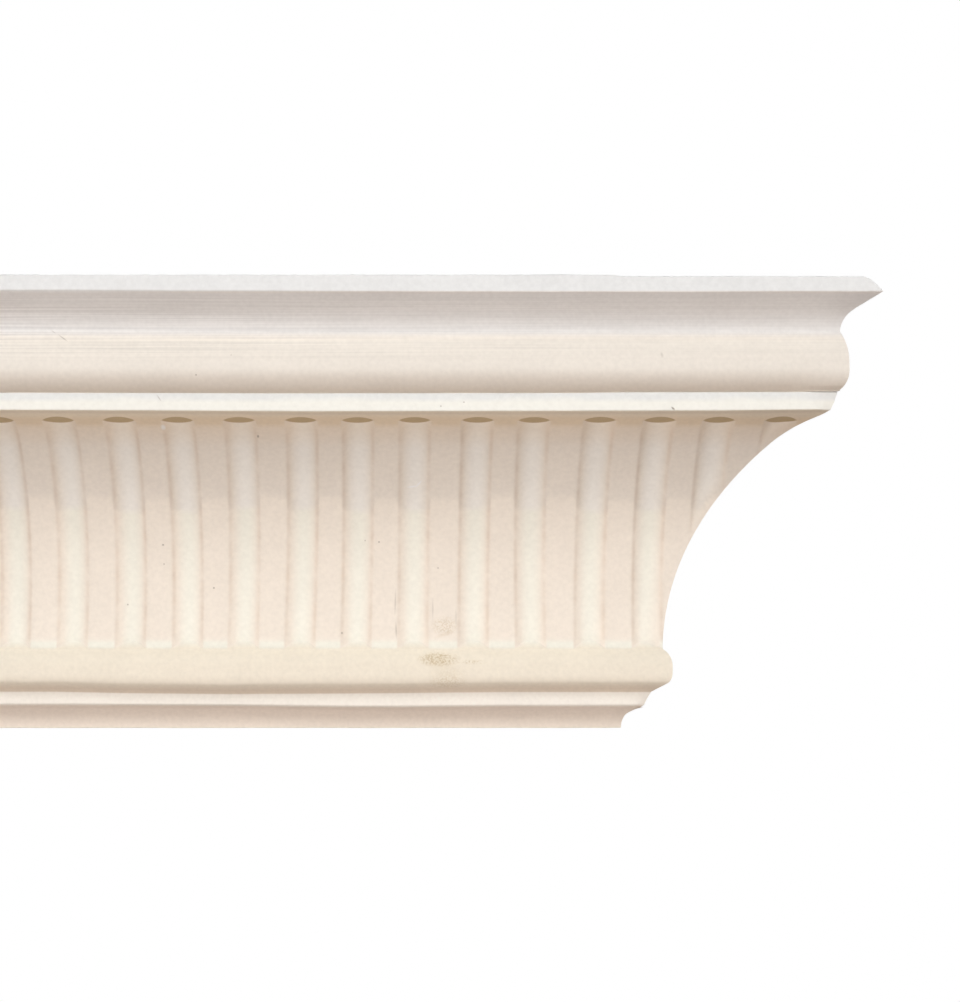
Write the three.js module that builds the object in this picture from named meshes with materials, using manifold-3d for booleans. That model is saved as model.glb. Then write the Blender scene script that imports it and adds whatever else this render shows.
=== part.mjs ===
// A length of cast plaster coving with a fluted cove, cut square at one end and mitred for an outside corner at the
// other. Millimetres, +Z up. The run is along X, the face looks to -Y, and the wall stands behind it at Y = 0. The
// origin is the middle of the face that beds on the wall.
//
// The profile is drawn in its own plane: x is the depth behind the front lip and y the height above it.

import * as THREE from 'three';
import { mergeVertices } from 'three/addons/utils/BufferGeometryUtils.js';
import Module from 'manifold-3d';

const wasm = await Module();
wasm.setup();

// The run
const lipLength = 335;
const mitreAngle = 45;

// Ceiling fillet, the sharp lip under it and the cavetto below
const ceilingFilletHeight = 5.9;
const lipUndersideAngle = 27;
const cavettoDepth = 11.9;
const cavettoRadius = 8;

// Upper torus: a long shallow swell, a short upright and a tighter round below
const torusProud = 2.2;
const torusUpperHeight = 10.1;
const torusUprightHeight = 1.9;
const torusRoundRadius = 9.5;
const torusRoundAngle = 62;

// Fillet, its top corner a little proud of the torus's underside, and sloping soffit
const filletProud = 0.74;
const filletCornerDrop = 0.25;
const filletHeight = 6.27;
const soffitAngle = 15;
const soffitDepth = 12;

// Cove, an arc of a large circle, eased into the soffit by a smaller one
const coveEasingRadius = 35;
const coveRadius = 93.2;
const coveStartAngle = 56;
const coveEndAngle = 1.5;

// Base torus: a broad shoulder and a tighter chin
const shoulderDepth = 6.3;
const shoulderHeight = 7.5;
const shoulderAngle = 59;
const chinDepth = 3;
const chinHeight = 3.6;
const chinDrop = 3.3;
const chinSetback = 0.3;
const chinStartAngle = 6;
const chinEndAngle = 60;

// Quirk under the torus and the lower fillet
const quirkDepth = 6.3;
const quirkHeight = 2.45;
const lowerFilletProud = 0.9;
const lowerFilletCornerDrop = 0.6;
const lowerFilletHeight = 3.7;
const lowerFilletLean = 0.8;

// Foot
const footStepDepth = 1.54;
const footStepHeight = 1;
const footCavettoRadius = 7.5;
const footFilletHeight = 0.4;
const footThickness = 13.6;

// Bearing faces and slanted back
const wallBearingHeight = 50;
const ceilingBearingWidth = 35;

// Flutes
const flutePitch = 21;
const fluteWidth = 11.4;
const fluteDepth = 1.75;
const fluteHeadReach = 6.2;
const fluteHeadAngle = 4.5;
const fluteHeadRise = 0.8;
const fluteFootRise = 3.2;

// Rubbed tip of the mitre, on the ceiling fillet
const wornTipLength = 7;

// How finely the curves are cut
const largeArcSteps = 12;
const easingSteps = 3;
const smallArcSteps = 6;
const fluteFacets = 4;

const plaster = new THREE.MeshStandardMaterial({ color: 0xf1e8d8, roughness: 0.85, metalness: 0 });

const radians = THREE.MathUtils.degToRad;

// Points on an arc or ellipse between two angles in degrees.
function arcPoints(centre, radiusX, radiusY, startAngle, endAngle, steps) {
  const clockwise = endAngle < startAngle;
  const curve = new THREE.EllipseCurve(
    centre.x, centre.y, radiusX, radiusY, radians(startAngle), radians(endAngle), clockwise,
  );
  return curve.getPoints(steps);
}

// The point that lies a given way from another.
function offset(point, dx, dy) {
  return new THREE.Vector2(point.x + dx, point.y + dy);
}

// Lip, sloping underside and cavetto: the straight underside meets the arc as its tangent.
function cavettoPoints() {
  const turn = radians(lipUndersideAngle);
  const arcStartDepth = cavettoDepth - cavettoRadius * (1 - Math.sin(turn));
  const arcStartDrop = arcStartDepth * Math.tan(turn);
  const centre = new THREE.Vector2(
    cavettoDepth - cavettoRadius,
    -arcStartDrop - cavettoRadius * Math.cos(turn),
  );
  const arc = arcPoints(centre, cavettoRadius, cavettoRadius, 90 - lipUndersideAngle, 0, smallArcSteps);
  return [new THREE.Vector2(0, 0), ...arc];
}

// Upper torus: a circular swell out from the cavetto to its crown, then a round back under to the fillet.
function torusPoints(start) {
  const crown = offset(start, -torusProud, -torusUpperHeight);
  const swellRadius = (torusUpperHeight ** 2 + torusProud ** 2) / (2 * torusProud);
  const swellSpan = THREE.MathUtils.radToDeg(Math.asin(torusUpperHeight / swellRadius));
  const swellCentre = offset(crown, swellRadius, 0);
  const swell = arcPoints(swellCentre, swellRadius, swellRadius, 180 - swellSpan, 180, smallArcSteps);
  const underCentre = offset(crown, torusRoundRadius, -torusUprightHeight);
  const under = arcPoints(
    underCentre, torusRoundRadius, torusRoundRadius, 180, 180 + torusRoundAngle, smallArcSteps + 2,
  );
  return [...swell.slice(1), ...under];
}

// Fillet and soffit, ending where the soffit's line meets the cove's circle.
function soffitPoints(start) {
  const filletTop = offset(start, -filletProud, -filletCornerDrop);
  const filletFoot = offset(filletTop, 0, -filletHeight);
  const arris = offset(filletFoot, soffitDepth, -soffitDepth * Math.tan(radians(soffitAngle)));
  return [filletTop, filletFoot, arris];
}

// Centre of the cove's circle, found from the point where it meets the soffit's line.
function coveCentre(arris) {
  const angle = radians(coveStartAngle);
  return offset(arris, -coveRadius * Math.cos(angle), -coveRadius * Math.sin(angle));
}

// Soffit end to cove foot: the easing arc touches the soffit's line and the cove's circle from inside.
function covePoints(arris, centre) {
  const bend = radians(90 - soffitAngle - coveStartAngle);
  const inward = coveRadius - coveEasingRadius;
  const below = coveRadius * Math.cos(bend) - coveEasingRadius;
  const along = Math.sqrt(inward ** 2 - below ** 2);
  const easingEndAngle = 90 - soffitAngle - THREE.MathUtils.radToDeg(Math.atan2(along, below));
  const turn = radians(easingEndAngle);
  const easingCentre = offset(centre, inward * Math.cos(turn), inward * Math.sin(turn));
  const easing = arcPoints(
    easingCentre, coveEasingRadius, coveEasingRadius, 90 - soffitAngle, easingEndAngle, easingSteps,
  );
  const hollow = arcPoints(centre, coveRadius, coveRadius, easingEndAngle, coveEndAngle, largeArcSteps);
  return [...easing, ...hollow.slice(1)];
}

// Base torus, quirk and lower fillet.
function basePoints(start) {
  const turn = radians(shoulderAngle);
  const shoulderCentre = offset(start, shoulderDepth * Math.cos(turn), -shoulderHeight * Math.sin(turn));
  const shoulder = arcPoints(
    shoulderCentre, shoulderDepth, shoulderHeight, 180 - shoulderAngle, 180, smallArcSteps,
  );
  const chinCentre = offset(shoulder.at(-1), chinDepth + chinSetback, -chinDrop);
  const chin = arcPoints(
    chinCentre, chinDepth, chinHeight, 180 + chinStartAngle, 180 + chinEndAngle, smallArcSteps,
  );
  const quirkFloor = offset(chin.at(-1), quirkDepth, -quirkHeight);
  const filletTop = offset(quirkFloor, -lowerFilletProud, -lowerFilletCornerDrop);
  const filletFoot = offset(filletTop, lowerFilletLean, -lowerFilletHeight);
  return [...shoulder.slice(1), ...chin, quirkFloor, filletTop, filletFoot];
}

// Foot cavetto down to the bottom edge.
function footPoints(start) {
  const arcStart = offset(start, footStepDepth, -footStepHeight);
  const centre = offset(arcStart, 0, -footCavettoRadius);
  const arc = arcPoints(centre, footCavettoRadius, footCavettoRadius, 90, 0, smallArcSteps);
  return [...arc, offset(arc.at(-1), 0, -footFilletHeight)];
}

const cavetto = cavettoPoints();
const torus = torusPoints(cavetto.at(-1));
const soffit = soffitPoints(torus.at(-1));
const arris = soffit.at(-1);
const centre = coveCentre(arris);
const cove = covePoints(arris, centre);
const coveFoot = cove.at(-1);
const base = basePoints(coveFoot);
const foot = footPoints(base.at(-1));
const bottomFront = foot.at(-1);

const wallDepth = bottomFront.x + footThickness;
const ceilingHeight = ceilingFilletHeight;
const back = [
  new THREE.Vector2(wallDepth, bottomFront.y),
  new THREE.Vector2(wallDepth, bottomFront.y + wallBearingHeight),
  new THREE.Vector2(ceilingBearingWidth, ceilingHeight),
  new THREE.Vector2(0, ceilingHeight),
];
const profile = [...cavetto, ...torus, ...soffit.slice(0, -1), ...cove, ...base, ...foot, ...back];

// Where the profile plane and the run lie in the part's own frame.
const mitreSetback = wallDepth / Math.tan(radians(mitreAngle));
const wallRun = lipLength - mitreSetback;
const squareEndX = -wallRun / 2;
const tipX = squareEndX + lipLength;
const originHeight = bottomFront.y + wallBearingHeight / 2;

// Carries a solid drawn over the profile plane, with its third axis along the run, into the part's frame.
function placeOnRun(geometry, startX) {
  const axes = new THREE.Matrix4().makeBasis(
    new THREE.Vector3(0, 1, 0),
    new THREE.Vector3(0, 0, 1),
    new THREE.Vector3(1, 0, 0),
  );
  axes.setPosition(startX, -wallDepth, -originHeight);
  return geometry.applyMatrix4(axes);
}

// A closed prism of an outline over the profile plane.
function prismOnRun(points, startX, length) {
  const prism = new THREE.ExtrudeGeometry(new THREE.Shape(points), {
    depth: length, steps: 1, bevelEnabled: false,
  });
  return placeOnRun(prism, startX);
}

function toSolid(geometry) {
  const bare = geometry.clone();
  bare.deleteAttribute('normal');
  bare.deleteAttribute('uv');
  const merged = mergeVertices(bare, 1e-4);
  return new wasm.Manifold(new wasm.Mesh({
    numProp: 3,
    vertProperties: new Float32Array(merged.attributes.position.array),
    triVerts: new Uint32Array(merged.index.array),
  }));
}

function toGeometry(solid) {
  const mesh = solid.getMesh();
  const geometry = new THREE.BufferGeometry();
  geometry.setAttribute('position', new THREE.BufferAttribute(new Float32Array(mesh.vertProperties), 3));
  geometry.setIndex(new THREE.BufferAttribute(new Uint32Array(mesh.triVerts), 1));
  return geometry;
}

// The channel of one flute: a ring whose round section is sunk to the flute's depth in the cove.
function fluteRing(middleX) {
  const half = fluteWidth / 2;
  const sectionRadius = (half ** 2 + fluteDepth ** 2) / (2 * fluteDepth);
  const facetAngle = 2 * Math.asin(half / sectionRadius) / fluteFacets;
  const sectionSides = Math.round(2 * Math.PI / facetAngle);
  const arcStep = radians(coveStartAngle - coveEndAngle) / largeArcSteps;
  const ringSteps = Math.round(2 * Math.PI / arcStep);
  const ringRadius = coveRadius + fluteDepth - sectionRadius;
  const ring = new THREE.TorusGeometry(ringRadius, sectionRadius, sectionSides, ringSteps);
  ring.translate(centre.x, centre.y, 0);
  return placeOnRun(ring, middleX);
}

// What the flute's round head leaves open: an arched tunnel that runs back into the cove from the soffit.
function fluteHeadTunnel(middleX) {
  const half = fluteWidth;
  const archRadius = ((fluteWidth / 2) ** 2 + fluteHeadRise ** 2) / (2 * fluteHeadRise);
  const archSpan = THREE.MathUtils.radToDeg(Math.asin(half / archRadius));
  const arch = arcPoints(
    new THREE.Vector2(0, -archRadius), archRadius, archRadius, 90 - archSpan, 90 + archSpan, 2 * smallArcSteps,
  );
  const tunnelHeight = coveRadius;
  const tunnelDepth = 2 * coveRadius;
  const outline = [new THREE.Vector2(-half, -tunnelHeight), new THREE.Vector2(half, -tunnelHeight), ...arch];
  const tunnel = new THREE.ExtrudeGeometry(new THREE.Shape(outline), {
    depth: tunnelDepth, steps: 1, bevelEnabled: false,
  });
  tunnel.translate(0, 0, -tunnelDepth / 2);

  // The drawing's own axes become the run turned round, the height and the depth of the profile plane.
  const slope = radians(fluteHeadAngle);
  const crown = offset(arris, -fluteHeadReach, fluteHeadReach * Math.tan(radians(soffitAngle)));
  const axes = new THREE.Matrix4().makeBasis(
    new THREE.Vector3(0, 0, -1),
    new THREE.Vector3(Math.sin(slope), Math.cos(slope), 0),
    new THREE.Vector3(Math.cos(slope), -Math.sin(slope), 0),
  );
  axes.setPosition(crown.x, crown.y, 0);
  return placeOnRun(tunnel.applyMatrix4(axes), middleX);
}

// The stretch that a flute may cut: down to its sloping foot, clear of the base torus.
function fluteStretch(middleX) {
  const reach = [
    new THREE.Vector2(0, 0),
    new THREE.Vector2(0, coveFoot.y),
    coveFoot.clone(),
    offset(coveFoot, fluteDepth, fluteFootRise),
    new THREE.Vector2(wallDepth, coveFoot.y + fluteFootRise),
    new THREE.Vector2(wallDepth, 0),
  ];
  return prismOnRun(reach, middleX - fluteWidth, 2 * fluteWidth);
}

function fluteCutter() {
  const ring = toSolid(fluteRing(0));
  const tunnel = toSolid(fluteHeadTunnel(0));
  const stretch = toSolid(fluteStretch(0));
  return toGeometry(ring.intersect(tunnel).intersect(stretch));
}

// The mitre takes away all that lies past a plane which leans back from the tip.
function mitreCutter() {
  const over = wallDepth;
  const overX = over / Math.tan(radians(mitreAngle));
  const plan = new THREE.Shape([
    new THREE.Vector2(tipX + overX, -wallDepth - over),
    new THREE.Vector2(tipX + overX + over, -wallDepth - over),
    new THREE.Vector2(tipX + overX + over, over),
    new THREE.Vector2(tipX - mitreSetback - overX, over),
  ]);
  const height = 2 * (ceilingHeight - bottomFront.y);
  const cutter = new THREE.ExtrudeGeometry(plan, { depth: height, steps: 1, bevelEnabled: false });
  return cutter.translate(0, 0, -height / 2);
}

// The rubbed tip: what stands outside a quarter ellipse on the end of the ceiling fillet.
function wornTipCutter() {
  const over = 1;
  const lipZ = -originHeight;
  const round = arcPoints(
    new THREE.Vector2(tipX - wornTipLength, lipZ), wornTipLength, ceilingFilletHeight, 0, 90, smallArcSteps,
  );
  const corner = new THREE.Shape([
    ...round,
    new THREE.Vector2(tipX - wornTipLength, lipZ + ceilingFilletHeight + over),
    new THREE.Vector2(tipX + over, lipZ + ceilingFilletHeight + over),
    new THREE.Vector2(tipX + over, lipZ),
  ]);
  const cutter = new THREE.ExtrudeGeometry(corner, {
    depth: ceilingBearingWidth, steps: 1, bevelEnabled: false,
  });
  cutter.rotateX(Math.PI / 2);
  return cutter.translate(0, -wallDepth + ceilingBearingWidth - over, 0);
}

function makeCoving() {
  let solid = toSolid(prismOnRun(profile, squareEndX, lipLength));
  solid = solid.subtract(toSolid(mitreCutter()));
  solid = solid.subtract(toSolid(wornTipCutter()));
  const cutter = fluteCutter();
  for (let x = squareEndX + flutePitch / 2; x < tipX; x += flutePitch) {
    solid = solid.subtract(toSolid(cutter.clone().translate(x, 0, 0)));
  }
  const coving = new THREE.Mesh(toGeometry(solid), plaster);
  coving.name = 'plaster_coving';
  return coving;
}

const group = new THREE.Group();
group.add(makeCoving());

export default group;
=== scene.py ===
"""Looks of the plaster coving: one fine mesh with flutes, wear and marks, its finish, lights and camera.

Lengths in the profile code are millimetres: d is the depth behind the front lip and h the drop below it, as
in the drawing of the solid, and s is the distance along the profile. x runs along the coving with the
mitred end at +x.
"""

import math

import bmesh
import bpy
import numpy as np
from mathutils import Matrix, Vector


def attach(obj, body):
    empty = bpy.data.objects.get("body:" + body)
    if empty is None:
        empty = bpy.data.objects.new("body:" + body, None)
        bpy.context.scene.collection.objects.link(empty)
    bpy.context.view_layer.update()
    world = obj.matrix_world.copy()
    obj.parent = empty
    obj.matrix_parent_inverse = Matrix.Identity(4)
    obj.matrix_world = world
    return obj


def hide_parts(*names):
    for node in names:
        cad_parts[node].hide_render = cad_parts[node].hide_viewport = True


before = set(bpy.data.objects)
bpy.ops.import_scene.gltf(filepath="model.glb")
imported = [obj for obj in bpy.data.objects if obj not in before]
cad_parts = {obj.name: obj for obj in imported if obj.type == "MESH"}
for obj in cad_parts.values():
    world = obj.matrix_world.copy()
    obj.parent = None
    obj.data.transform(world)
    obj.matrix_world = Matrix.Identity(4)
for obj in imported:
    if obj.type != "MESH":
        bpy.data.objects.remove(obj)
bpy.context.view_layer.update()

MM = 0.001

# Ceiling fillet, lip and cavetto
CEILING_DROP = -5.9
CEILING_SEEN = 6
LIP_UNDERSIDE_ANGLE = 27
CAVETTO_DEPTH = 11.9
CAVETTO_RADIUS = 8

# Torus, fillet and soffit
TORUS_PROUD = 2.2
TORUS_UPPER_HEIGHT = 10.1
TORUS_UPRIGHT = 1.9
TORUS_ROUND_RADIUS = 9.5
TORUS_ROUND_ANGLE = 62
FILLET_PROUD = 0.74
FILLET_CORNER_DROP = 0.25
FILLET_HEIGHT = 6.27
SOFFIT_ANGLE = 15
SOFFIT_DEPTH = 12

# Cove
EASING_RADIUS = 35
COVE_RADIUS = 93.2
COVE_START = 56
COVE_END = 1.5

# Base torus, quirk and lower fillet
SHOULDER_DEPTH = 6.3
SHOULDER_HEIGHT = 7.5
SHOULDER_ANGLE = 59
CHIN_PLACE = (3.3, 2.7)
CHIN_DEPTH = 3.2
CHIN_HEIGHT = 4.1
CHIN_START = 186
CHIN_END = 236
QUIRK_DEPTH = 7.2
QUIRK_DROP = 9.17
QUIRK_HEIGHT = 0.2977
LOWER_FILLET_LEAN = 0.8
LOWER_FILLET_HEIGHT = 3.7

# Foot, bearing faces and back
FOOT_STEP_DEPTH = 1.54
FOOT_STEP_HEIGHT = 1
FOOT_CAVETTO_RADIUS = 7.5
FOOT_FILLET_HEIGHT = 0.4
FOOT_THICKNESS = 13.6
UNDERSIDE_SEEN = 5
UNDERSIDE_RISE = 0.13
WALL_BEARING = 50
CEILING_BEARING = 35

# Flutes
PITCH = 21
HALF_WIDTH = 5.7
FLUTE_DEPTH = 1.75
FLUTE_REACH = 7.1
FLUTE_FADE = 1.2
SOFT_EDGE = 0.15
HEAD_SLOPE = math.radians(5.5)
HEAD_CROWN = 19
HEAD_ARCH = 2.4
HEAD_ARCH_HALF = 5.5
HEAD_ARCH_REACH = 5.9
HEAD_DROP = 41
FOOT_DROP = 110
FOOT_RISE = 3.2

# The flutes were set out by hand, so each lies a little off the even spacing, at its head and at its foot.
HEAD_SHIFT = (0.5, 0.75, 0.6, 0.6, -0.1, 0.35, 0.8, -0.5, -1.65, -0.75, -2.2, -0.4, -0.6, -1.1, -0.5)
FOOT_SHIFT = (-1.4, -1.4, -1.3, -1.0, -1.0, -1.5, -1.7, -2.1, -2.2, -1.1, -1.0, -0.4, -0.1, -0.3, -0.3)
FLUTES = len(HEAD_SHIFT)

# The run and its mitre
LIP_LENGTH = 335
MITRE_FADE = 9
TIP_WORN = 7
ARRIS_RADIUS = 0.28

# How finely the profile is drawn and the mesh is laid
ARC_STEPS = 40
TORUS_STEPS = 60
CHIN_STEPS = 30
COVE_STEPS = 300
STEP = 0.04
ACROSS = (1.3, 2.5, 3.5, 4.3, 4.9, 5.3, 5.6, 5.9, 6.3, 7.2)
MITRE_COLUMNS = 24
UPPER_ROWS = 110
SOFFIT_ROWS = 8
HEAD_ROWS = 7
CHANNEL_ROWS = 64
FOOT_ROWS = 6
LOWER_ROWS = 84
BACK_ROWS = 11
STRAIGHT_SHARE = 0.16
PAST_FILLET = 0.8
EDGE_ROW = 0.2
CREASE_ROW = 0.25
LEAST_HEAD = 0.4
LEAST_FOOT = 0.6
HEAD_SHARES = np.append(0.04, np.linspace(0.1, 0.95, HEAD_ROWS))
FOOT_SHARES = np.linspace(0.08, 1, FOOT_ROWS)


def arc(centre, radius_d, radius_h, start, end, count):
    """Points of an arc. Angles are in degrees, from the depth axis up to the ceiling."""
    a = np.radians(np.linspace(start, end, count))
    return np.column_stack((centre[0] + radius_d * np.cos(a), centre[1] - radius_h * np.sin(a)))


def upper_members():
    """The face from the ceiling bearing to the fillet, and the places where the torus and the fillet end."""
    turn = math.radians(LIP_UNDERSIDE_ANGLE)
    arc_depth = CAVETTO_DEPTH - CAVETTO_RADIUS * (1 - math.sin(turn))
    arc_drop = arc_depth * math.tan(turn) + CAVETTO_RADIUS * math.cos(turn)
    centre = (CAVETTO_DEPTH - CAVETTO_RADIUS, arc_drop)
    cavetto = arc(centre, CAVETTO_RADIUS, CAVETTO_RADIUS, 90 - LIP_UNDERSIDE_ANGLE, 0, ARC_STEPS)
    crown = cavetto[-1] + (-TORUS_PROUD, TORUS_UPPER_HEIGHT)
    swell_radius = (TORUS_UPPER_HEIGHT**2 + TORUS_PROUD**2) / (2 * TORUS_PROUD)
    span = math.degrees(math.asin(TORUS_UPPER_HEIGHT / swell_radius))
    swell = arc(crown + (swell_radius, 0), swell_radius, swell_radius, 180 - span, 180, TORUS_STEPS)
    centre = crown + (TORUS_ROUND_RADIUS, TORUS_UPRIGHT)
    under_end = 180 + TORUS_ROUND_ANGLE
    under = arc(centre, TORUS_ROUND_RADIUS, TORUS_ROUND_RADIUS, 180, under_end, TORUS_STEPS)
    fillet_top = under[-1] + (-FILLET_PROUD, FILLET_CORNER_DROP)
    fillet_foot = fillet_top + (0, FILLET_HEIGHT)
    strip = [(CEILING_SEEN, CEILING_DROP), (0, CEILING_DROP), (0, 0)]
    return np.vstack((strip, cavetto, swell, under, [fillet_top, fillet_foot])), under[-1], fillet_foot


def cove_members(fillet_foot):
    """The soffit's slope and the cove, which is eased into it by a smaller arc."""
    arris = fillet_foot + (SOFFIT_DEPTH, SOFFIT_DEPTH * math.tan(math.radians(SOFFIT_ANGLE)))
    start = math.radians(COVE_START)
    centre = arris + COVE_RADIUS * np.array((-math.cos(start), math.sin(start)))
    bend = math.radians(90 - SOFFIT_ANGLE - COVE_START)
    below = COVE_RADIUS * math.cos(bend) - EASING_RADIUS
    inward = COVE_RADIUS - EASING_RADIUS
    along = math.sqrt(inward**2 - below**2)
    eased = 90 - SOFFIT_ANGLE - math.degrees(math.atan2(along, below))
    turned = math.radians(eased)
    easing_centre = centre + inward * np.array((math.cos(turned), -math.sin(turned)))
    easing = arc(easing_centre, EASING_RADIUS, EASING_RADIUS, 90 - SOFFIT_ANGLE, eased, ARC_STEPS)
    return np.vstack((easing, arc(centre, COVE_RADIUS, COVE_RADIUS, eased, COVE_END, COVE_STEPS)))


def foot_members(cove_foot):
    """The face from the base torus round to the underside, and the place of the bottom edge."""
    turned = math.radians(180 - SHOULDER_ANGLE)
    centre = cove_foot + (-SHOULDER_DEPTH * math.cos(turned), SHOULDER_HEIGHT * math.sin(turned))
    shoulder = arc(centre, SHOULDER_DEPTH, SHOULDER_HEIGHT, 180 - SHOULDER_ANGLE, 180, ARC_STEPS)
    chin = arc(shoulder[-1] + CHIN_PLACE, CHIN_DEPTH, CHIN_HEIGHT, CHIN_START, CHIN_END, CHIN_STEPS)
    quirk = shoulder[-1] + (QUIRK_DEPTH, QUIRK_DROP)
    quirk_foot = quirk + (0, QUIRK_HEIGHT)
    fillet_foot = quirk_foot + (LOWER_FILLET_LEAN, LOWER_FILLET_HEIGHT)
    centre = fillet_foot + (FOOT_STEP_DEPTH, FOOT_STEP_HEIGHT + FOOT_CAVETTO_RADIUS)
    foot = arc(centre, FOOT_CAVETTO_RADIUS, FOOT_CAVETTO_RADIUS, 90, 0, ARC_STEPS)
    bottom = foot[-1] + (0, FOOT_FILLET_HEIGHT)
    underside = bottom + (UNDERSIDE_SEEN, -UNDERSIDE_RISE)
    return np.vstack((shoulder, chin, [quirk, quirk_foot, fillet_foot], foot, [bottom, underside])), bottom


def resampled(points, spacing):
    """Points at even steps along a polyline."""
    points = points[np.append(True, np.hypot(*np.diff(points, axis=0).T) > 1e-9)]
    s = np.append(0, np.cumsum(np.hypot(*np.diff(points, axis=0).T)))
    even = np.linspace(0, s[-1], int(s[-1] / spacing))
    return np.column_stack([np.interp(even, s, c) for c in points.T])


def softened(points, radius):
    """Rounds every corner of an evenly stepped polyline by about the radius, and keeps its two ends."""
    reach = int(4 * radius / STEP)
    kernel = np.exp(-0.5 * (np.arange(-reach, reach + 1) * STEP / radius) ** 2)
    kernel /= kernel.sum()
    padded = np.vstack((
        2 * points[0] - points[reach:0:-1], points, 2 * points[-1] - points[-2:-reach - 2:-1],
    ))
    return np.column_stack([np.convolve(c, kernel, "valid") for c in padded.T])


upper_face, torus_foot, upper_fillet_foot = upper_members()
cove_face = cove_members(upper_fillet_foot)
foot_face, bottom_edge = foot_members(cove_face[-1])
face = softened(resampled(np.vstack((upper_face, cove_face, foot_face)), STEP), ARRIS_RADIUS)
tangent = np.gradient(face, axis=0)
tangent /= np.hypot(*tangent.T)[:, None]
into = np.column_stack((tangent[:, 1], -tangent[:, 0]))
face_s = np.append(0, np.cumsum(np.hypot(*np.diff(face, axis=0).T)))


def at_point(point):
    """Distance along the face of the place nearest a point."""
    return face_s[np.argmin(np.hypot(*(face - point).T))]


def at_s(s, table=face):
    """The table's row or rows at distances along the face."""
    return np.stack([np.interp(s, face_s, c) for c in table.T], axis=-1)


torus_end_s = at_point(torus_foot)
fillet_s = at_point(upper_fillet_foot)
cove_end_s = at_point(cove_face[-1])
wall_depth = bottom_edge[0] + FOOT_THICKNESS
bottom_drop = bottom_edge[1]
origin_drop = bottom_drop - WALL_BEARING / 2
square_x = -(LIP_LENGTH - wall_depth) / 2
tip_x = square_x + LIP_LENGTH


def run_lines():
    """The lines that the mesh is laid along: offsets from a flute's middle, places at head and at foot."""
    even = square_x + PITCH / 2 + PITCH * np.arange(FLUTES)
    head, foot = even + HEAD_SHIFT, even + FOOT_SHIFT
    offsets, heads, feet = [PITCH / 2], [square_x], [square_x]
    for i in range(FLUTES):
        for t in (*(-a for a in reversed(ACROSS)), 0, *ACROSS):
            if head[i] + t > tip_x:
                continue
            offsets.append(t)
            heads.append(head[i] + t)
            feet.append(foot[i] + t)
        if i + 1 < FLUTES:
            offsets.append(PITCH / 2)
            heads.append((head[i] + head[i + 1]) / 2)
            feet.append((foot[i] + foot[i + 1]) / 2)
    end = np.linspace(max(heads), tip_x, MITRE_COLUMNS)[1:]
    offsets.extend([PITCH / 2] * len(end))
    heads.extend(end)
    feet.extend(end)
    return np.array(offsets), np.array(heads), np.array(feet)


def channel_depth(offset):
    """How deep the flute is at an offset from its middle: a round section with softened edges."""
    radius = (HALF_WIDTH**2 + FLUTE_DEPTH**2) / (2 * FLUTE_DEPTH)
    z = np.sqrt(np.maximum(radius**2 - offset**2, 0)) - radius + FLUTE_DEPTH
    soft = 0.5 * (z + np.sqrt(z**2 + SOFT_EDGE**2))
    return soft * np.clip((FLUTE_REACH - np.abs(offset)) / FLUTE_FADE, 0, 1)


def spaced(start, end, count):
    """Even steps from start, with the end left out."""
    return np.linspace(start, end, count, endpoint=False)


def by_bend(start, end, count):
    """Distances along the face from start to end, closer together where it bends more."""
    s = np.arange(start, end, STEP)
    t = at_s(s, tangent)
    bend = np.hypot(*np.gradient(t, axis=0).T) / STEP
    weight = np.cumsum(STRAIGHT_SHARE + np.sqrt(bend))
    return np.interp(np.linspace(weight[0], weight[-1], count), weight, s)


upper_s = by_bend(0, fillet_s + PAST_FILLET, UPPER_ROWS)
lower_s = by_bend(cove_end_s, face_s[-1], LOWER_ROWS)[1:]


def section(offset):
    """Points (d, h, s) down one line of the mesh, on the front of the moulding."""
    depth = float(channel_depth(offset))
    rim_d = HEAD_CROWN + HEAD_ARCH * (min(abs(offset), HEAD_ARCH_REACH) / HEAD_ARCH_HALF) ** 2
    after = face_s > fillet_s
    rim_s = np.interp(rim_d, face[after, 0], face_s[after])
    rim = at_s(rim_s)
    floor = face + depth * into
    along = np.array((math.cos(HEAD_SLOPE), math.sin(HEAD_SLOPE)))
    below = (floor - rim) @ np.array((-along[1], along[0]))
    meets = np.flatnonzero((face_s > rim_s) & (below >= 0))[0]
    crease_s = max(face_s[meets], rim_s + LEAST_HEAD)
    foot_point = at_s(cove_end_s)
    slope = np.array((FLUTE_DEPTH, -FOOT_RISE)) / math.hypot(FLUTE_DEPTH, FOOT_RISE)
    past = (floor - foot_point) @ np.array((-slope[1], slope[0]))
    inside = np.flatnonzero((face_s < cove_end_s) & (past <= 0))[-1]
    foot_s = min(face_s[inside], cove_end_s - LEAST_FOOT)

    edge_s = rim_s - EDGE_ROW
    soffit_s = np.append(spaced(upper_s[-1], edge_s, SOFFIT_ROWS)[1:], (edge_s, rim_s))
    channel_s = np.linspace(crease_s, foot_s, CHANNEL_ROWS)
    channel_s = np.sort(np.append(channel_s, (crease_s + CREASE_ROW, foot_s - CREASE_ROW)))
    channel = at_s(channel_s) + depth * at_s(channel_s, into)
    head = rim + (channel[0] - rim) * HEAD_SHARES[:, None]
    foot = channel[-1] + (foot_point - channel[-1]) * FOOT_SHARES[:, None]
    s = np.concatenate((
        upper_s, soffit_s, np.linspace(rim_s, crease_s, HEAD_ROWS + 1), channel_s,
        np.linspace(foot_s, cove_end_s, FOOT_ROWS), lower_s,
    ))
    points = np.vstack((at_s(upper_s), at_s(soffit_s), head, channel, foot, at_s(lower_s)))
    return np.column_stack((points, s))


def blend(low, high, amount):
    """From one colour to another by an amount at each point."""
    return np.asarray(low) + (np.asarray(high) - np.asarray(low)) * amount[..., None]


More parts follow.
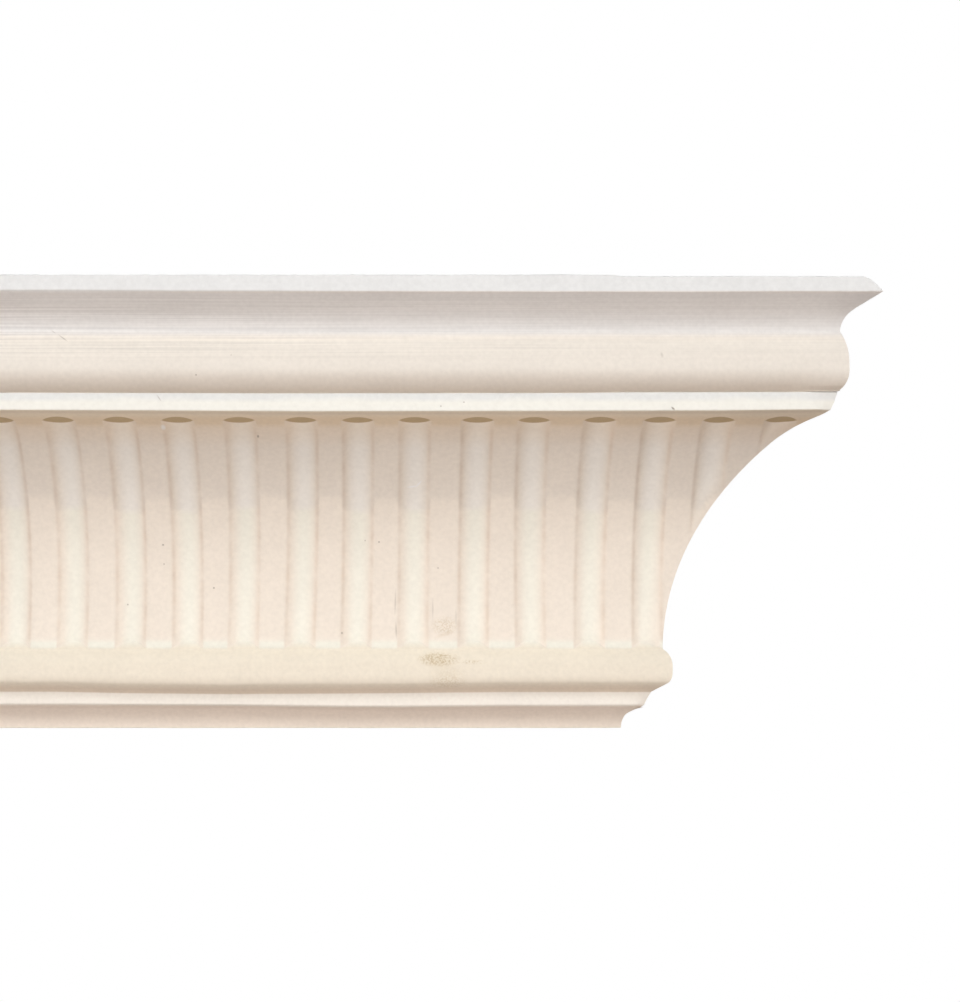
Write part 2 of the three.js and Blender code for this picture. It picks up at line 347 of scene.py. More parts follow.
def step(value, start, end):
    """0 before start, 1 after end and smooth between."""
    v = np.clip((value - start) / (end - start), 0, 1)
    return v * v * (3 - 2 * v)


def rise(value, start, end):
    """0 at start, 1 at end, straight between and level outside. End may be below start."""
    return np.clip((value - start) / (end - start), 0, 1)


def between(value, start, full, less, end):
    """1 from full to less, 0 before start and after end, and straight between."""
    return rise(value, start, full) * rise(value, end, less)


def wander(x, seed, *waves):
    """A slow unevenness along the run: sines of the given lengths and heights, with seeded phases."""
    phases = np.random.default_rng(seed).uniform(0, 2 * math.pi, len(waves))
    return sum(a * np.sin(2 * math.pi * x / w + p) for (w, a), p in zip(waves, phases))


offsets, head_x, foot_x = run_lines()
rows = np.stack([section(t) for t in offsets])
flat = section(PITCH / 2)
first_head_row = len(upper_s) + SOFFIT_ROWS + 1
head_end = first_head_row + HEAD_ROWS + 1
foot_start = head_end + CHANNEL_ROWS + 2
count_x, front = rows.shape[:2]
depth_there = channel_depth(offsets)[:, None] * np.ones(front)
grid_x = head_x[:, None] + (foot_x - head_x)[:, None] * rise(rows[:, :, 1], HEAD_DROP, FOOT_DROP)

# The flutes were filled where they run out at the mitre.
to_mitre = np.clip((tip_x - rows[:, :, 0] - grid_x) / MITRE_FADE, 0, 1)
kept = to_mitre * (2 - to_mitre)
rows = flat + (rows - flat) * kept[..., None]
depth_there = depth_there * kept
grid_d, grid_h, grid_s = rows[:, :, 0], rows[:, :, 1], rows[:, :, 2]

# Hand-run unevenness of about a tenth of a millimetre, with drag marks that are strongest in the cavetto.
UNEVEN_MIDDLE = 0.05
DRAG_SPACING = 0.45
DRAG_TURN = 40
DRAG_HEIGHT = 0.003
DRAG_IN_CAVETTO = 0.045
DRAG_LIMIT = 0.09
rng = np.random.default_rng(11)
drag_s = np.arange(0, face_s[-1] + 1, DRAG_SPACING)
drag = np.interp(grid_s, drag_s, rng.normal(0, 1, len(drag_s))) * np.cos(grid_x / DRAG_TURN)
drag += np.interp(grid_s, drag_s, rng.normal(0, 1, len(drag_s))) * np.sin(grid_x / DRAG_TURN)
IN_CAVETTO = (0, 2, 15, 19)
streaky = between(grid_h, *IN_CAVETTO) * np.interp(grid_x, (-120, 0, 120), (1, 0.7, 0.3))
uneven = UNEVEN_MIDDLE + wander(grid_x, 3, (61, 0.03), (23, 0.02))
uneven = uneven + wander(grid_x + 0.7 * grid_s, 5, (37, 0.02), (14, 0.01))
uneven = uneven + np.clip((DRAG_HEIGHT + DRAG_IN_CAVETTO * streaky) * drag, -DRAG_LIMIT, DRAG_LIMIT)
grid_d = grid_d + uneven * np.interp(grid_s, face_s, into[:, 0])
grid_h = grid_h + uneven * np.interp(grid_s, face_s, into[:, 1])

# The arrises of the lip, the fillets, the quirk and the ceiling wander up and down along the run. Each shift
# is given at places along the run, and acts only between drops that lie near its own arris.
NEAR_LIP = (-3, 0, 0, 3)
NEAR_CREASE = (28.5, 31, 31.8, 33.8)
NEAR_EDGE = (34.2, 37.2, 37.9, 39.9)
NEAR_QUIRK = (124, 129, 135, 139)
NEAR_FOOT = (133, 135, 137.5, 139.5)
lip_shift = np.interp(grid_x, (-60, -30, 10, 50, 150, 185), (-0.4, -0.25, -0.1, 0.1, 0.28, 0.08))
crease_shift = np.interp(grid_x, (-75, 8, 110, 130, 200), (0.32, 0.55, 0.42, 0.14, 0.05))
edge_shift = np.interp(grid_x, (-80, -30, 20, 60, 110, 160, 200), (0, 0.2, 0.48, 0.4, 0.33, 0.2, -0.22))
quirk_shift = np.interp(grid_x, (-75, -50, -12, 28, 50, 90), (-0.1, 0.4, 0.75, 0.55, 0.4, 0))
foot_shift = np.interp(grid_x, (-75, -50, -12, 28, 50), (0.3, -0.05, -0.2, 0.45, 0.65))
ceiling_shift = 0.5 * step(grid_x, 123, 127)
lip_and_crease = lip_shift * between(grid_h, *NEAR_LIP) + crease_shift * between(grid_h, *NEAR_CREASE)
edge_and_quirk = edge_shift * between(grid_h, *NEAR_EDGE) + quirk_shift * between(grid_h, *NEAR_QUIRK)
grid_h = grid_h + lip_and_crease + edge_and_quirk + ceiling_shift * rise(grid_h, 0, CEILING_DROP)
grid_h = grid_h + foot_shift * between(grid_h, *NEAR_FOOT)

# At the mitre the torus is fuller below, where the filling was left standing.
TORUS_FILLING = 1.9
FILLET_FILLING = 0.8
FILLING_FROM_MITRE = (16, 3)
FILLING_DOWN_TORUS = (23.5, 31.3)
FILLING_UP_FILLET = (34, 31.6)
filled = step(tip_x - grid_x - grid_d, *FILLING_FROM_MITRE) * rise(grid_h, *FILLING_DOWN_TORUS) ** 1.5
on_torus = grid_s < torus_end_s + 0.12
on_fillet = FILLET_FILLING * rise(grid_h, *FILLING_UP_FILLET)
grid_d = grid_d - filled * np.where(on_torus, TORUS_FILLING, on_fillet)

# The corners of the two fillets are knocked off at the mitre. Each knock grows down the fillet's face, ends
# below it and fades out where the moulding goes back.
UPPER_KNOCK = 1.3
UPPER_KNOCK_FROM_TIP = (21, 15.5)
UPPER_KNOCK_DOWN = (34, 37.9)
UPPER_KNOCK_END = 39.5
UPPER_KNOCK_BACK = (18, 14.5)
LOWER_KNOCK = 1.5
LOWER_KNOCK_FROM_MITRE = (5, 0.5)
LOWER_KNOCK_DOWN = (131.8, 135.8)
LOWER_KNOCK_END = 137
LOWER_KNOCK_BACK = (78, 74)
knocked = step(tip_x - grid_x, *UPPER_KNOCK_FROM_TIP) * step(grid_h, *UPPER_KNOCK_DOWN)
knocked = knocked * rise(grid_d, *UPPER_KNOCK_BACK) * (grid_h < UPPER_KNOCK_END)
grid_d = grid_d + UPPER_KNOCK * knocked
rubbed = step(tip_x - grid_x - grid_d, *LOWER_KNOCK_FROM_MITRE) * rise(grid_h, *LOWER_KNOCK_DOWN)
rubbed = rubbed * rise(grid_d, *LOWER_KNOCK_BACK) * (grid_h < LOWER_KNOCK_END)
grid_d = grid_d + LOWER_KNOCK * rubbed

# The tip of the mitre is rubbed away on the ceiling fillet.
left_of_tip = 1 - rise(grid_x, tip_x - TIP_WORN, tip_x) ** 1.7
grid_h = np.where(grid_h < 0, grid_h * np.maximum(left_of_tip, 0.02), grid_h)
grid_d = np.clip(grid_d, 0, wall_depth)
grid_h = np.clip(grid_h, CEILING_DROP, bottom_drop)

# The flat bearing on the wall, and above it the slanted back, which was struck off by hand.
BACK_CORNER_RISE = 0.35
HOLLOW = 0.25
bearing_top = bottom_drop - WALL_BEARING
up = np.concatenate(((0,), np.linspace(0, 1, BACK_ROWS)))
back_d = wall_depth + (CEILING_BEARING - wall_depth) * up
back_h = bearing_top + (CEILING_DROP - bearing_top) * up
back_h[0] = bottom_drop - BACK_CORNER_RISE
back_x = foot_x[:, None] + (head_x - foot_x)[:, None] * up
hollow = HOLLOW + wander(back_x + 30 * up, 17, (47, 0.08), (19, 0.06))
hollow = hollow + wander(back_x - 45 * up, 18, (27, 0.06), (11, 0.04))
hollow = hollow * np.clip(12 * up * (1 - up), 0, 1)
slant = math.atan2(wall_depth - CEILING_BEARING, bearing_top - CEILING_DROP)
mesh_x = np.hstack((grid_x, back_x))
mesh_d = np.hstack((grid_d, back_d - hollow * math.cos(slant)))
mesh_h = np.hstack((grid_h, back_h + hollow * math.sin(slant)))

# Tints from the ceiling down
STRIP = (0.867, 0.882, 0.88)
CAVETTO = (0.80, 0.79, 0.775)
TORUS = (0.885, 0.838, 0.762)
# Painted shade for the torus's underside, also laid on the filling at the mitre
TORUS_UNDER_SHADE = (0.65, 0.58, 0.50)
# Painted shadow of the torus on the top of the fillet, on plaster that is greyer there
FILLET_SHADOWED = (0.857, 0.873, 0.853)
FILLET = (0.965, 0.965, 0.90)
# Painted warm shade on the soffit
SOFFIT_SHADE = (0.812, 0.72, 0.585)
# Painted shade in the heads of the flutes
HEAD_SHADE = (0.53, 0.43, 0.28)
# Painted shadow over the upper cove, where the fillet's shadow ends, on the lands
LAND_SHADOWED = (0.872, 0.81, 0.725)
LAND = (0.94, 0.87, 0.773)
# The same painted shadow over the upper channels
CHANNEL_SHADOWED = (0.945, 0.925, 0.87)
CHANNEL = (0.955, 0.945, 0.85)
BASE = (0.934, 0.868, 0.738)
# Painted shade in the quirk
QUIRK_SHADE = (0.80, 0.70, 0.575)
# The lower fillet is lighter, partly a whiter plaster and partly painted light against the torus's shadow on
# it
LOWER_FILLET_LIT = (0.985, 0.95, 0.87)
FOOT = (0.912, 0.822, 0.722)
HIDDEN = (0.90, 0.85, 0.765)

# The drops over which one tint gives way to the next
CAVETTO_FROM = (-0.3, 0.6)
TORUS_FROM = (10.2, 15.5)
TORUS_SHADE_FROM = (24.5, 31.3)
FILLET_SHADOW_FROM = (31.2, 31.8)
SOFFIT_SHADE_FROM = (37.7, 38.1)
COVE_FROM = (40.6, 41.6)
CHANNEL_FOOT_FROM = (112, 113.2)
BASE_FROM = (115, 116.5)
QUIRK_SHADE_FROM = (128.4, 130.4)
LOWER_FILLET_LIT_FROM = (131.2, 131.7)
FOOT_FROM = (135.5, 136.2)
UNDERSIDE_LIT_FROM = (143.5, 144.1)
# Drops of the painted warm shade under the fillet, and of its painted contact shadow along the edge
WARM_SHADE_FROM = (38.8, 39.8)
WARM_SHADE_TO = (46.9, 41.4)
EDGE_SHADOW_FROM = (37.9, 38.2)
EDGE_SHADOW_TO = (38.3, 38.7)
# Drops where the painted shade along the flutes' arrises begins and ends
FLUTE_EDGE_SHADE_FROM = (41, 44)
FLUTE_EDGE_SHADE_TO = (111, 114)
# Drops between which the painted shading of the run marks shows
RUN_SHADING_FROM = (0.5, 2)
RUN_SHADING_TO = (17, 23)
# Where the painted shadow on the cove ends, and how much lower it reaches in the flutes
COVE_SHADOW_TO = 62.7
SHADOW_LOWER_IN_FLUTES = 3.8
SHADOW_HALF_EDGE = 1.4
FILLET_SHADOW_TO = 34.2
FILLET_HALF_EDGE = 0.7

# Flutes: depths at which they count as fluted and as shaded at the head, and the pale middle of the channel,
# partly paler plaster and partly painted light
FLUTED_AT = 0.12
HEAD_SHADED_AT = 0.5
PALE_LIT_HALF_HEAD = 4.6
PALE_LIT_HALF_FOOT = 3.9
PALE_LIT_OFF_MIDDLE = 0.3

# Shares of the colour taken away by painted warm shade under the fillet, by a painted contact shadow on its
# edge and by painted shade along the flutes' arrises
UNDER_FILLET_SHADE = (0.03, 0.08, 0.14)
EDGE_SHADOW = 0.1
FLUTE_EDGE_SHADE = (0.065, 0.09, 0.11)
# Where across each flute the painted shade along its arrises lies, and how wide it is
FLUTE_EDGE_SHADE_FROM_MIDDLE = 5.2
FLUTE_EDGE_SHADE_WIDTH = 0.75


def cove_tint(fluted):
    """The cove's tint: a greyer painted shadow above and cream below, and paler in the middle of each flute,
    partly paler plaster and partly painted light.
    """
    pale_lit_half = np.interp(grid_h, (45, FOOT_DROP), (PALE_LIT_HALF_HEAD, PALE_LIT_HALF_FOOT))
    # Painted light in the middle of each flute, over its paler plaster
    pale_and_lit = np.clip(1 - ((offsets[:, None] - PALE_LIT_OFF_MIDDLE) / pale_lit_half) ** 2, 0, 1) * kept
    shadow_end = COVE_SHADOW_TO + SHADOW_LOWER_IN_FLUTES * fluted + wander(grid_x, 7, (83, 0.5), (29, 0.4))
    tint = blend(LAND_SHADOWED, CHANNEL_SHADOWED, pale_and_lit)
    below_shadow = step(grid_h, shadow_end - SHADOW_HALF_EDGE, shadow_end + SHADOW_HALF_EDGE)
    return tint + (blend(LAND, CHANNEL, pale_and_lit) - tint) * below_shadow[..., None]


def only_rows(first, last, amount):
    """The amount on some rows of the mesh, and 0 on all the others."""
    result = np.zeros_like(grid_h)
    result[:, first:last] = amount
    return result


def front_tint():
    """The tint at each point of the front."""
    tint = np.tile(np.array(FOOT), (count_x, front, 1))

    def paint(colour, amount):
        """Lays a colour, or one colour for each point, over the tint."""
        tint[:] += (colour - tint) * amount[..., None]

    fluted = np.clip(depth_there / FLUTED_AT, 0, 1)
    cove_colour = cove_tint(fluted)
    cavetto_starts = step(grid_h, *CAVETTO_FROM)
    torus_starts = step(grid_h, *TORUS_FROM)
    fillet_shadow_line = FILLET_SHADOW_TO + wander(grid_x, 8, (71, 0.25), (19, 0.15))
    # Where the filling at the mitre shows it takes the torus's painted shade.
    filling_shade = np.clip(3 * filled, 0, 1) * (grid_h > 30) * (grid_s < torus_end_s + 0.3)
    in_foot = fluted[:, foot_start:foot_start + FOOT_ROWS] * np.linspace(0.1, 1, FOOT_ROWS)
    in_head_shade = np.clip(depth_there[:, first_head_row:head_end] / HEAD_SHADED_AT - 0.1, 0, 1)
    paint(STRIP, 1 - cavetto_starts)
    paint(CAVETTO, cavetto_starts * (1 - torus_starts))
    # Painted shade darkens the torus towards its underside.
    paint(blend(TORUS, TORUS_UNDER_SHADE, rise(grid_h, *TORUS_SHADE_FROM)), torus_starts)
    # Painted shadow of the torus on the fillet's top, then the fillet's own colour below a wandering line.
    paint(FILLET_SHADOWED, step(grid_h - crease_shift, *FILLET_SHADOW_FROM))
    paint(FILLET, step(grid_h, fillet_shadow_line - FILLET_HALF_EDGE, fillet_shadow_line + FILLET_HALF_EDGE))
    paint(TORUS_UNDER_SHADE, filling_shade)
    # Painted warm shade on the soffit.
    paint(SOFFIT_SHADE, step(grid_h - edge_shift, *SOFFIT_SHADE_FROM))
    paint(cove_colour, step(grid_h, *COVE_FROM))
    paint(cove_colour, only_rows(head_end, foot_start, fluted[:, head_end:foot_start]))
    paint(CHANNEL, step(grid_h, *CHANNEL_FOOT_FROM) * (1 - fluted))
    paint(BASE, only_rows(foot_start, foot_start + FOOT_ROWS, in_foot))
    # Painted shade in the heads of the flutes.
    paint(HEAD_SHADE, only_rows(first_head_row, head_end, in_head_shade))
    paint(BASE, step(grid_h, *BASE_FROM))
    # Painted shade in the quirk.
    paint(QUIRK_SHADE, step(grid_h - quirk_shift, *QUIRK_SHADE_FROM))
    # The lower fillet: partly whiter plaster, partly painted light.
    paint(LOWER_FILLET_LIT, step(grid_h - quirk_shift, *LOWER_FILLET_LIT_FROM))
    paint(FOOT, step(grid_h - quirk_shift - foot_shift, *FOOT_FROM))
    # Painted light on the bottom edge and underside, in the base's lighter tint.
    paint(BASE, step(grid_h, *UNDERSIDE_LIT_FROM))

    # Under the fillet a warm painted shade, with a thin painted contact shadow along the edge.
    warm_shade = step(grid_h, *WARM_SHADE_FROM) * rise(grid_h, *WARM_SHADE_TO)
    tint *= 1 - warm_shade[..., None] * UNDER_FILLET_SHADE
    below_edge = grid_h - edge_shift
    edge_shadow = step(below_edge, *EDGE_SHADOW_FROM) * (1 - step(below_edge, *EDGE_SHADOW_TO))
    tint *= 1 - EDGE_SHADOW * edge_shadow[..., None]

    # Painted shade lies along both arrises of each flute.
    from_middle = np.abs(offsets[:, None])
    edge_shade = np.exp(-((from_middle - FLUTE_EDGE_SHADE_FROM_MIDDLE) / FLUTE_EDGE_SHADE_WIDTH) ** 2)
    edge_shade = edge_shade * step(grid_h, *FLUTE_EDGE_SHADE_FROM) * (1 - step(grid_h, *FLUTE_EDGE_SHADE_TO))
    down = wander(grid_h, 13, (31, 0.3), (9, 0.25), (4.1, 0.15)) * np.sign(offsets[:, None])
    edge_shade *= 1 + down + wander(grid_x, 14, (57, 0.25))
    return tint * (1 - edge_shade[..., None] * FLUTE_EDGE_SHADE)


# How far a face's normal turns to the front or the back for it to count as one that shows, or as the back
TURNED_TO_FRONT = -0.02
TURNED_TO_BACK = 0.3
SHARP_ANGLE = 25


def cut_and_closed(mesh):
    """Cuts the mesh along the mitre, closes it there, and parts the faces that show from the hidden ones."""
    work = bmesh.new()
    work.from_mesh(mesh)
    bmesh.ops.bisect_plane(
        work, geom=work.verts[:] + work.edges[:] + work.faces[:], dist=1e-7,
        plane_co=(tip_x * MM, -wall_depth * MM, 0), plane_no=(1, 1, 0), clear_outer=True,
    )
    bmesh.ops.holes_fill(work, edges=[e for e in work.edges if e.is_boundary])
    bmesh.ops.recalc_face_normals(work, faces=work.faces)
    for side in work.faces:
        shows = side.normal.y < TURNED_TO_FRONT
        is_back = side.normal.y > TURNED_TO_BACK and abs(side.normal.x) < TURNED_TO_BACK
        side.smooth = shows or is_back
        side.material_index = 0 if shows else 1
    work.to_mesh(mesh)
    work.free()
    mesh.set_sharp_from_angle(angle=math.radians(SHARP_ANGLE))


def coving_mesh():
    """The mesh, with the tint and the strength of the painted run-mark shading at each point."""
    mesh = bpy.data.meshes.new("coving")
    around = mesh_x.shape[1]
    vertices = np.column_stack((
        mesh_x.ravel() * MM, (mesh_d.ravel() - wall_depth) * MM, (origin_drop - mesh_h.ravel()) * MM,
    ))
    index = np.arange(mesh_x.size).reshape(mesh_x.shape)
    after = np.roll(index, -1, axis=1)
    quads = np.stack((index[:-1], after[:-1], after[1:], index[1:]), axis=-1).reshape(-1, 4)
    ends = [index[0][::-1].tolist(), index[-1].tolist()]
    mesh.from_pydata(vertices.tolist(), [], quads.tolist() + ends)
    tint = np.tile(np.array((*FOOT, 1)), (count_x, around, 1))
    tint[:, :front, :3] = front_tint()
    colours = mesh.color_attributes.new("tint", "FLOAT_COLOR", "POINT")
    colours.data.foreach_set("color", tint.ravel())
    # Strength of the painted run-mark shading on the front
    run_shading = np.zeros((count_x, around))
    run_shading[:, :front] = step(grid_h, *RUN_SHADING_FROM) * (1 - step(grid_h, *RUN_SHADING_TO))
    run_shading[:, :front] *= np.interp(grid_x, (-120, 0, 140), (1, 0.8, 0.3))
    mesh.attributes.new("run_mark_shading", "FLOAT", "POINT").data.foreach_set("value", run_shading.ravel())
    cut_and_closed(mesh)
    return mesh


coving = bpy.data.objects.new("coving", coving_mesh())
bpy.context.scene.collection.objects.link(coving)
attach(coving, "root")
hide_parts("plaster_coving")

# Pits, knocks and scratches: place along the run, drop, half length, half width, angle and strength
DIRT = (0.2, 0.15, 0.1)
DARK_SOFTNESS = 0.7
DARK_MARKS = (
    (1.6, 43.9, 0.5, 0.5, 0, 0.6), (-35.2, 78.6, 0.5, 0.4, 0, 0.6), (-35.1, 85.3, 0.4, 0.4, 0, 0.4),
    (-17.0, 93.8, 0.45, 0.45, 0, 0.6), (-49.0, 99.6, 0.4, 0.4, 0, 0.5), (43.7, 77.6, 0.45, 0.45, 0, 0.5),
    (38.6, 76.9, 0.35, 0.35, 0, 0.4), (65.3, 86.7, 0.4, 0.4, 0, 0.4), (65.6, 36.6, 0.35, 0.35, 0, 0.5),
    (73.5, 35.2, 0.4, 0.3, 0, 0.5), (-18.0, 26.5, 0.4, 0.4, 0, 0.5), (-6.1, 19.7, 0.35, 0.3, 0, 0.3),
    (30.0, 110.1, 0.45, 0.5, 0, 0.5), (145.1, 37.4, 1.0, 0.45, -40, 0.75),
    (-31.0, 33.8, 1.6, 0.25, -55, 0.35), (-64.0, 13.4, 2.6, 0.3, -38, 0.35),
    (-67.5, 11.0, 1.2, 0.25, -35, 0.25), (141.1, 19.7, 0.6, 1.3, 15, 0.2), (49.6, 99.0, 5.5, 0.4, 88, 0.22),
    (49.9, 109.0, 3.5, 0.4, 92, 0.28), (63.4, 101.5, 5.0, 0.35, 90, 0.2), (71.9, 104.5, 4.0, 0.35, 90, 0.15),
)
SCUFF = (0.97, 0.97, 0.97)
PALE_SOFTNESS = 0.6
PALE_MARKS = (
    (-31.2, 41.5, 1.0, 0.8, 30, 0.7), (55.9, 58.8, 2.2, 0.35, 8, 0.8), (58.2, 57.9, 1.8, 0.35, 42, 0.8),
)

# A brown stain on the base torus: a speckled heart, a paler run below it, a streak beside it, spots above
# and a faint patch near the mitre. Softness comes before strength, and last the texture that breaks it up.
BROWN = (0.5, 0.36, 0.14)
STAIN = (
    (65.5, 119.8, 8.5, 3.0, 0, 0.5, 0.5, "speckle"), (66.0, 120.3, 8.0, 3.4, 0, 0.9, 0.22, "cloud"),
    (68.5, 124.3, 7.5, 3.4, 0, 0.7, 0.06, "cloud"), (68.5, 128.2, 8.0, 3.2, 0, 0.6, 0.2, "speckle"),
    (69.0, 125.8, 8.5, 4.6, 0, 0.6, 0.08, "speckle"), (77.5, 120.9, 6.5, 1.0, 0, 0.9, 0.4, "speckle"),
    (67.7, 107.5, 5.6, 4.0, 0, 0.6, 0.3, "speckle"), (68.0, 110.4, 4.6, 1.0, 20, 0.8, 0.3, "cloud"),
    (164.0, 120.5, 9.0, 2.5, 0, 1.0, 0.12, "cloud"),
)
MARK_DEPTH = 8

# Plaster: the scale and detail of each noise, and the levels between which it varies the tint
ROUGHNESS = 0.85
SPECULAR = 0.25
MOTTLE = (60, 6)
GRAIN = (650, 3)
SPECKLE = (1500, 2)
STREAK_SHADING_NOISE = (1, 3)
STREAK_SHADING_STRETCH = (9, 1400, 1400)
NOISE_RANGE = (0.3, 0.7)
MOTTLE_LEVELS = (0.985, 1.015)
GRAIN_LEVELS = (0.97, 1.03)
# Levels of the painted run-mark shading
STREAK_SHADING_LEVELS = (0.89, 1.11)


def add_node(tree, kind, inputs, **settings):
    """A new shader node. Each input, by name or number, takes a plain value or the socket that feeds it."""
    node = tree.nodes.new("ShaderNode" + kind)
    for name, value in settings.items():
        setattr(node, name, value)
    for key, value in inputs.items():
        if isinstance(value, bpy.types.NodeSocket):
            tree.links.new(value, node.inputs[key])
        else:
            node.inputs[key].default_value = value
    return node


def noise(tree, vector, scale, detail):
    """The value of a noise texture."""
    node = add_node(tree, "TexNoise", {"Vector": vector, "Scale": scale, "Detail": detail})
    return node.outputs["Fac"]


def ramp(tree, value, start, end, low=0, high=1):
    """Low at start, high at end and straight between."""
    return add_node(tree, "MapRange", {
        "Value": value, "From Min": start, "From Max": end, "To Min": low, "To Max": high,
    }).outputs["Result"]


def product(tree, a, b, clamped):
    """The product of two sockets or numbers."""
    return add_node(tree, "Math", {0: a, 1: b}, operation="MULTIPLY", use_clamp=clamped).outputs["Value"]


def patch(tree, place, at_x, at_h, half_length, half_width, angle, soft):
    """1 inside a small ellipse on the face and 0 outside. Its length turns from level, counter-clockwise."""
    nearest = np.argmin((grid_x - at_x) ** 2 + (grid_h - at_h) ** 2)
    at_d = grid_d.ravel()[nearest]
    centred = add_node(tree, "Mapping", {
        "Vector": place,
        "Location": (at_x * MM, (at_d - wall_depth) * MM, (origin_drop - at_h) * MM),
        "Rotation": (0, -math.radians(angle), 0),
        "Scale": (half_length * MM, MARK_DEPTH * MM, half_width * MM),
    }, vector_type="TEXTURE")
    distance = add_node(tree, "VectorMath", {0: centred.outputs["Vector"]}, operation="LENGTH")
    return ramp(tree, distance.outputs["Value"], 1, 1 - soft)


def layered(tree, under, colour, amount):
    """A colour laid over another in the given amount."""
    mix = add_node(tree, "MixRGB", {"Fac": amount, "Color1": under, "Color2": (*colour, 1)})
    return mix.outputs["Color"]


def plaster_material(name, shown):
    """Matt plaster with a fine grain. The front that shows takes its tint and the strength of its painted
    run-mark shading from the mesh.
    """
    material = bpy.data.materials.new(name)
    material.use_nodes = True
    tree = material.node_tree
    shader = tree.nodes["Principled BSDF"]
    shader.inputs["Roughness"].default_value = ROUGHNESS
    shader.inputs["Specular IOR Level"].default_value = SPECULAR
    place = add_node(tree, "TexCoord", {}).outputs["Object"]
    mottle = noise(tree, place, *MOTTLE)
    level = ramp(tree, mottle, *NOISE_RANGE, *MOTTLE_LEVELS)
    grain = ramp(tree, noise(tree, place, *GRAIN), *NOISE_RANGE, *GRAIN_LEVELS)

    # Long fine streaks of painted shading for the running mould's drag marks, where the mesh says they show
    tint, run_shading = HIDDEN, 0
    if shown:
        tint = add_node(tree, "VertexColor", {}, layer_name="tint").outputs["Color"]
        run_shading = add_node(tree, "Attribute", {}, attribute_name="run_mark_shading").outputs["Fac"]
    drawn_out = add_node(tree, "Mapping", {"Vector": place, "Scale": STREAK_SHADING_STRETCH}).outputs["Vector"]
    drag_shading = ramp(tree, noise(tree, drawn_out, *STREAK_SHADING_NOISE), *NOISE_RANGE, *STREAK_SHADING_LEVELS)
    drag_shading_level = add_node(tree, "Mix", {0: run_shading, 2: 1, 3: drag_shading}).outputs[0]
    all_levels = product(tree, product(tree, level, grain, False), drag_shading_level, False)
    mixed = add_node(tree, "VectorMath", {0: tint, "Scale": all_levels}, operation="SCALE")

    colour = mixed.outputs["Vector"]
    for *outline, strength in DARK_MARKS:
        amount = product(tree, patch(tree, place, *outline, DARK_SOFTNESS), strength, True)
        colour = layered(tree, colour, DIRT, amount)
    for *outline, strength in PALE_MARKS:
        amount = product(tree, patch(tree, place, *outline, PALE_SOFTNESS), strength, True)
        colour = layered(tree, colour, SCUFF, amount)
    textures = {
        "speckle": ramp(tree, noise(tree, place, *SPECKLE), 0.42, 0.6),
        "cloud": ramp(tree, mottle, 0.35, 0.6),
    }
    for *outline, strength, texture in STAIN:
        amount = product(tree, patch(tree, place, *outline), strength, True)
        colour = layered(tree, colour, BROWN, product(tree, amount, textures[texture], True))
    tree.links.new(colour, shader.inputs["Base Color"])
    return material


# The ends, the back and the bearing faces are bare, in one tint and without the painted run-mark shading.
coving.data.materials.append(plaster_material("plaster", True))
coving.data.materials.append(plaster_material("plaster_hidden", False))

# Stage: a floor far below and a studio around, both white to the camera and dim to everything else
FLOOR_HALF = 6
FLOOR_Z = -1.5
FLOOR_GLOW = (1, 0.88, 0.8, 1)
FLOOR_STRENGTH = 0.08
STUDIO_STRENGTH = 0.16
WHITE = (1, 1, 1, 1)


def white_to_camera(tree, kind, output, colour, strength):
    """Fills a tree with a plain white for the camera, and a dim colour for every other ray."""
    tree.nodes.clear()
    seen = add_node(tree, "LightPath", {})
    white = add_node(tree, kind, {"Color": WHITE})
    dim = add_node(tree, kind, {"Color": colour, "Strength": strength})
    pick = add_node(tree, "MixShader", {
        "Fac": seen.outputs["Is Camera Ray"], 1: dim.outputs[0], 2: white.outputs[0],
    })
    add_node(tree, output, {"Surface": pick.outputs["Shader"]})


def soft_light(name, at, size, power, tone):
    """A square area light that looks at the middle of the coving."""
    data = bpy.data.lights.new(name, "AREA")
    data.shape = "SQUARE"
    data.size = size
    data.energy = power
    data.color = tone
    light = bpy.data.objects.new(name, data)
    bpy.context.scene.collection.objects.link(light)
    light.location = at
    light.rotation_euler = (Vector(LIGHTS_AIM) - Vector(at)).to_track_quat("-Z", "Y").to_euler()


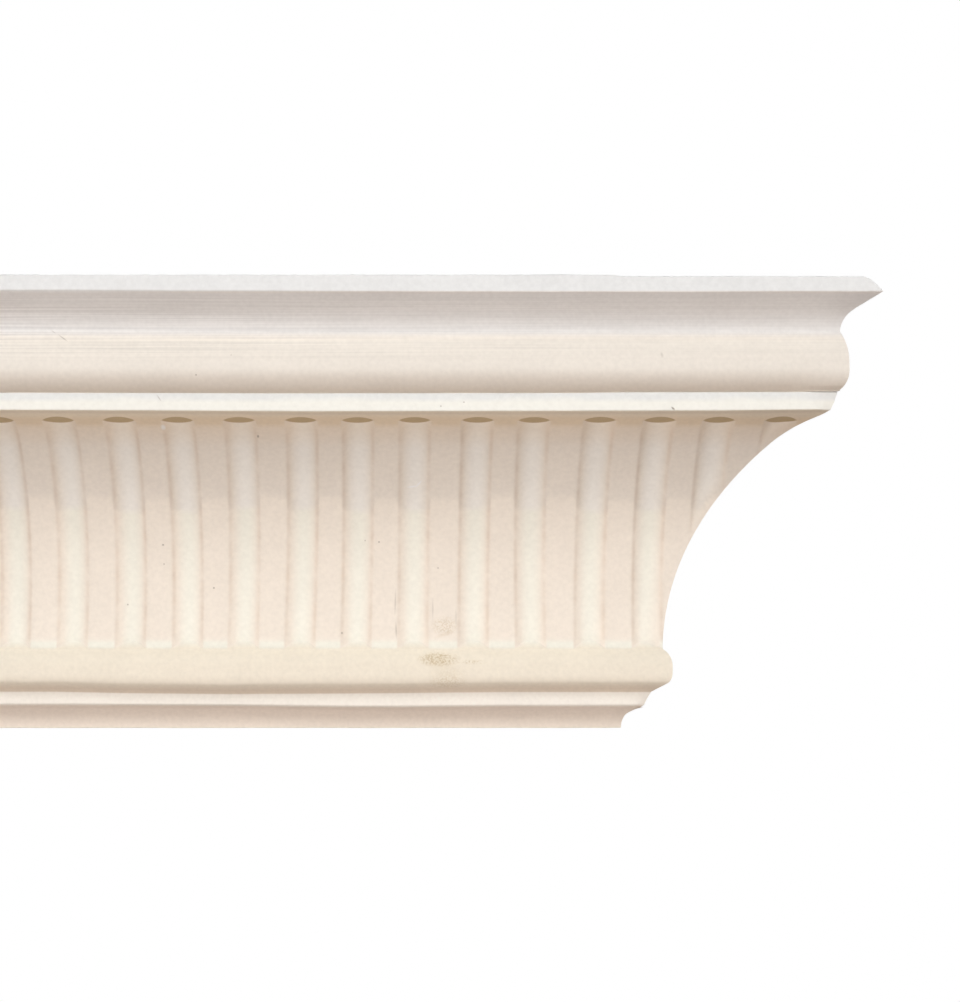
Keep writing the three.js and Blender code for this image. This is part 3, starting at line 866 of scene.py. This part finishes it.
floor_mesh = bpy.data.meshes.new("floor")
corners = [(a * FLOOR_HALF, b * FLOOR_HALF, FLOOR_Z) for a, b in ((-1, -1), (1, -1), (1, 1), (-1, 1))]
floor_mesh.from_pydata(corners, [], [(0, 1, 2, 3)])
floor = bpy.data.objects.new("floor", floor_mesh)
bpy.context.scene.collection.objects.link(floor)
paper = bpy.data.materials.new("paper")
paper.use_nodes = True
white_to_camera(paper.node_tree, "Emission", "OutputMaterial", FLOOR_GLOW, FLOOR_STRENGTH)
floor.data.materials.append(paper)

world = bpy.data.worlds.new("studio")
bpy.context.scene.world = world
world.use_nodes = True
white_to_camera(world.node_tree, "Background", "OutputWorld", WHITE, STUDIO_STRENGTH)

# Lights: place, size, power and tone. The last two reach the back and the square end.
LIGHTS_AIM = (0.04, -0.06, 0.05)
soft_light("key", (0.04, -1.32, 0.87), 0.6, 13.2, (1, 0.99, 0.985))
soft_light("low", (0.04, -0.9, -1.15), 0.8, 11.1, (1, 0.889, 0.834))
soft_light("left", (-1.3, -1.1, 0.2), 0.8, 2.7, (1, 1, 1))
soft_light("right", (1.4, -1.1, 0.2), 0.8, 1.1, (1, 1, 1))
soft_light("behind", (0.2, 1.3, 0.6), 1, 9, (1, 1, 1))
soft_light("square_end", (-1.4, 0.45, 0.3), 0.8, 6, (1, 1, 1))

# Camera: the photograph's view, level across and looking up. The frame is 960 by 1002 pixels, and its longer
# side spans the sensor.
FRAME_HEIGHT = 1002
FOCAL_PIXELS = 1615
SHIFT_PIXELS = 70
SENSOR = 36
LOOKING_UP = 9.21
CAMERA_LEFT_OF_TIP = 159.8
CAMERA_Y = -0.6214
CAMERA_Z = -0.0378

camera_data = bpy.data.cameras.new("camera")
camera = bpy.data.objects.new("camera", camera_data)
bpy.context.scene.collection.objects.link(camera)
camera_data.sensor_width = SENSOR
camera_data.lens = FOCAL_PIXELS / FRAME_HEIGHT * SENSOR
camera_data.shift_x = SHIFT_PIXELS / FRAME_HEIGHT
camera.location = ((tip_x - CAMERA_LEFT_OF_TIP) * MM, CAMERA_Y, CAMERA_Z)
camera.rotation_euler = (math.radians(90 + LOOKING_UP), 0, 0)
bpy.context.scene.camera = camera
bpy.context.scene.view_settings.view_transform = "Standard"
